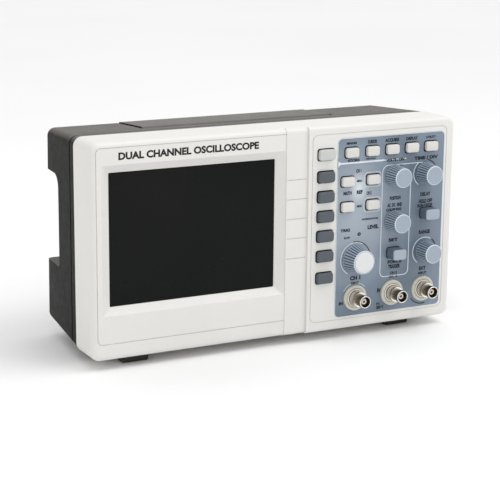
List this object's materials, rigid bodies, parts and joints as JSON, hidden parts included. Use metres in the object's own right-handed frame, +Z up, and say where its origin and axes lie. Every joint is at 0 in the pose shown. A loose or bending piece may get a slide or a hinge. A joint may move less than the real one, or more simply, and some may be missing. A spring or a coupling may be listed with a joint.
{
  "type": "oscilloscope",
  "caption": "Compact bench oscilloscope with a wide screen, soft keys, ribbed knobs, BNC inputs, folding carry handle and flip-out tilt legs.",
  "frame": {"origin": "on the ground under the middle of the whole object", "axes": "+X to the right as seen from the front, +Y towards the back (the screen faces -Y), +Z up"},
  "size_m": [0.306, 0.1274, 0.1676],
  "materials": {
    "bezel_plastic": "fine moulded texture, off-white",
    "case_plastic": "fine moulded texture, charcoal",
    "label_film": "satin printed film, blue-grey",
    "screen": "black, faintly glossy",
    "lcd_glass": "dark glass",
    "tray_steel": "zinc plated",
    "key_dark": "satin, dark slate",
    "key_light": "satin, cream",
    "button_blue": "satin, blue-grey",
    "knob_blue": "satin, blue-grey",
    "cap_light": "satin, pale grey",
    "steel": "turned steel",
    "encoder_body": "moulded",
    "switch_black": "moulded",
    "board": "green solder mask",
    "nickel": "nickel plate, slightly worn",
    "ptfe": "white insulator",
    "gold_contact": "gold flash",
    "collar": "satin, cream",
    "shield_steel": "tin plated",
    "transformer": "varnished laminations",
    "panel_steel": "brushed, zinc plated",
    "black_plastic": "moulded",
    "handle_plastic": "fine moulded texture, charcoal",
    "foot_rubber": "matte black",
    "screw_steel": "black zinc"
  },
  "bodies": {
    "chassis": {"bnc_collars": "collar", "bnc_contacts": "gold_contact", "bnc_insulators": "ptfe", "bnc_shells": "nickel", "case_screws": "screw_steel", "control_overlay": "label_film", "display_window": "screen", "encoders": "encoder_body", "fan_frame": "black_plastic", "feet": "foot_rubber", "front_bezel": "bezel_plastic", "inlet_pins": "nickel", "input_shield": "shield_steel", "key_board": "board", "key_switches": "switch_black", "lcd_frame": "tray_steel", "lcd_panel": "lcd_glass", "main_board": "board", "power_board": "board", "power_inlet": "black_plastic", "power_transformer": "transformer", "rear_case": "case_plastic", "rear_panel": "panel_steel", "switch_frame": "black_plastic", "usb_port": "nickel"},
    "function_key_1": {"function_key_1": "key_light"},
    "function_key_2": {"function_key_2": "key_light"},
    "function_key_3": {"function_key_3": "key_light"},
    "function_key_4": {"function_key_4": "key_light"},
    "function_key_5": {"function_key_5": "key_light"},
    "menu_key_1": {"menu_key_1": "key_light"},
    "menu_key_2": {"menu_key_2": "key_light"},
    "menu_key_3": {"menu_key_3": "key_light"},
    "menu_key_4": {"menu_key_4": "key_light"},
    "softkey_1": {"softkey_1": "key_light"},
    "softkey_2": {"softkey_2": "key_dark"},
    "softkey_3": {"softkey_3": "key_dark"},
    "softkey_4": {"softkey_4": "key_dark"},
    "softkey_5": {"softkey_5": "key_dark"},
    "softkey_6": {"softkey_6": "key_dark"},
    "softkey_7": {"softkey_7": "key_dark"},
    "upper_push_button": {"upper_push_button": "button_blue"},
    "lower_push_button": {"lower_push_button": "button_blue"},
    "knob_top_left": {"knob_top_left": "knob_blue", "knob_top_left_shaft": "steel"},
    "knob_mid_left": {"knob_mid_left": "knob_blue", "knob_mid_left_shaft": "steel"},
    "knob_top_right": {"knob_top_right": "knob_blue", "knob_top_right_shaft": "steel"},
    "knob_low_right": {"knob_low_right": "knob_blue", "knob_low_right_shaft": "steel"},
    "main_knob": {"main_knob": "knob_blue", "main_knob_shaft": "steel", "main_knob_cap": "cap_light"},
    "handle": {"carry_handle": "handle_plastic", "handle_pins": "steel"},
    "tilt_leg_left": {"tilt_leg_left": "black_plastic"},
    "tilt_leg_right": {"tilt_leg_right": "black_plastic"},
    "power_rocker": {"power_rocker": "black_plastic"},
    "fan_rotor": {"fan_rotor": "black_plastic"}
  },
  "joints": [
    {"name": "function_key_1_press", "type": "slide", "parent": "chassis", "child": "function_key_1", "axis": [0, 1, 0], "range_m": [0, 0.001], "stiffness_N_per_m": 1200, "springref_m": -0.0003},
    {"name": "function_key_2_press", "type": "slide", "parent": "chassis", "child": "function_key_2", "axis": [0, 1, 0], "range_m": [0, 0.001], "stiffness_N_per_m": 1200, "springref_m": -0.0003},
    {"name": "function_key_3_press", "type": "slide", "parent": "chassis", "child": "function_key_3", "axis": [0, 1, 0], "range_m": [0, 0.001], "stiffness_N_per_m": 1200, "springref_m": -0.0003},
    {"name": "function_key_4_press", "type": "slide", "parent": "chassis", "child": "function_key_4", "axis": [0, 1, 0], "range_m": [0, 0.001], "stiffness_N_per_m": 1200, "springref_m": -0.0003},
    {"name": "function_key_5_press", "type": "slide", "parent": "chassis", "child": "function_key_5", "axis": [0, 1, 0], "range_m": [0, 0.001], "stiffness_N_per_m": 1200, "springref_m": -0.0003},
    {"name": "menu_key_1_press", "type": "slide", "parent": "chassis", "child": "menu_key_1", "axis": [0, 1, 0], "range_m": [0, 0.001], "stiffness_N_per_m": 1200, "springref_m": -0.0003},
    {"name": "menu_key_2_press", "type": "slide", "parent": "chassis", "child": "menu_key_2", "axis": [0, 1, 0], "range_m": [0, 0.001], "stiffness_N_per_m": 1200, "springref_m": -0.0003},
    {"name": "menu_key_3_press", "type": "slide", "parent": "chassis", "child": "menu_key_3", "axis": [0, 1, 0], "range_m": [0, 0.001], "stiffness_N_per_m": 1200, "springref_m": -0.0003},
    {"name": "menu_key_4_press", "type": "slide", "parent": "chassis", "child": "menu_key_4", "axis": [0, 1, 0], "range_m": [0, 0.001], "stiffness_N_per_m": 1200, "springref_m": -0.0003},
    {"name": "softkey_1_press", "type": "slide", "parent": "chassis", "child": "softkey_1", "axis": [0, 1, 0], "range_m": [0, 0.001], "stiffness_N_per_m": 1200, "springref_m": -0.0003},
    {"name": "softkey_2_press", "type": "slide", "parent": "chassis", "child": "softkey_2", "axis": [0, 1, 0], "range_m": [0, 0.001], "stiffness_N_per_m": 1200, "springref_m": -0.0003},
    {"name": "softkey_3_press", "type": "slide", "parent": "chassis", "child": "softkey_3", "axis": [0, 1, 0], "range_m": [0, 0.001], "stiffness_N_per_m": 1200, "springref_m": -0.0003},
    {"name": "softkey_4_press", "type": "slide", "parent": "chassis", "child": "softkey_4", "axis": [0, 1, 0], "range_m": [0, 0.001], "stiffness_N_per_m": 1200, "springref_m": -0.0003},
    {"name": "softkey_5_press", "type": "slide", "parent": "chassis", "child": "softkey_5", "axis": [0, 1, 0], "range_m": [0, 0.001], "stiffness_N_per_m": 1200, "springref_m": -0.0003},
    {"name": "softkey_6_press", "type": "slide", "parent": "chassis", "child": "softkey_6", "axis": [0, 1, 0], "range_m": [0, 0.001], "stiffness_N_per_m": 1200, "springref_m": -0.0003},
    {"name": "softkey_7_press", "type": "slide", "parent": "chassis", "child": "softkey_7", "axis": [0, 1, 0], "range_m": [0, 0.001], "stiffness_N_per_m": 1200, "springref_m": -0.0003},
    {"name": "upper_push_button_press", "type": "slide", "parent": "chassis", "child": "upper_push_button", "axis": [0, 1, 0], "range_m": [0, 0.001], "stiffness_N_per_m": 1200, "springref_m": -0.0003},
    {"name": "lower_push_button_press", "type": "slide", "parent": "chassis", "child": "lower_push_button", "axis": [0, 1, 0], "range_m": [0, 0.001], "stiffness_N_per_m": 1200, "springref_m": -0.0003},
    {"name": "knob_top_left_turn", "type": "hinge", "parent": "chassis", "child": "knob_top_left", "pos_m": [0.0982, -0.04725, 0.1254], "axis": [0, -1, 0], "continuous": true},
    {"name": "knob_mid_left_turn", "type": "hinge", "parent": "chassis", "child": "knob_mid_left", "pos_m": [0.0984, -0.04725, 0.0896], "axis": [0, -1, 0], "continuous": true},
    {"name": "knob_top_right_turn", "type": "hinge", "parent": "chassis", "child": "knob_top_right", "pos_m": [0.1264, -0.04725, 0.1251], "axis": [0, -1, 0], "continuous": true},
    {"name": "knob_low_right_turn", "type": "hinge", "parent": "chassis", "child": "knob_low_right", "pos_m": [0.1281, -0.04725, 0.0625], "axis": [0, -1, 0], "continuous": true},
    {"name": "main_knob_turn", "type": "hinge", "parent": "chassis", "child": "main_knob", "pos_m": [0.0644, -0.04725, 0.0625], "axis": [0, -1, 0], "continuous": true},
    {"name": "handle_swing", "type": "hinge", "parent": "chassis", "child": "handle", "pos_m": [-0.006, 0.01637, 0.16211], "axis": [1, 0, 0], "range_deg": [0, 100]},
    {"name": "tilt_leg_left_swing", "type": "hinge", "parent": "chassis", "child": "tilt_leg_left", "pos_m": [-0.114, -0.01825, 0.0039], "axis": [-1, 0, 0], "range_deg": [0, 92]},
    {"name": "tilt_leg_right_swing", "type": "hinge", "parent": "chassis", "child": "tilt_leg_right", "pos_m": [0.114, -0.01825, 0.0039], "axis": [-1, 0, 0], "range_deg": [0, 92]},
    {"name": "power_rocker_tip", "type": "hinge", "parent": "chassis", "child": "power_rocker", "pos_m": [0.05, 0.02625, 0.0931], "axis": [-1, 0, 0], "range_deg": [0, 16]},
    {"name": "fan_spin", "type": "hinge", "parent": "chassis", "child": "fan_rotor", "pos_m": [-0.041, 0.02475, 0.0931], "axis": [0, 1, 0], "continuous": true}
  ]
}
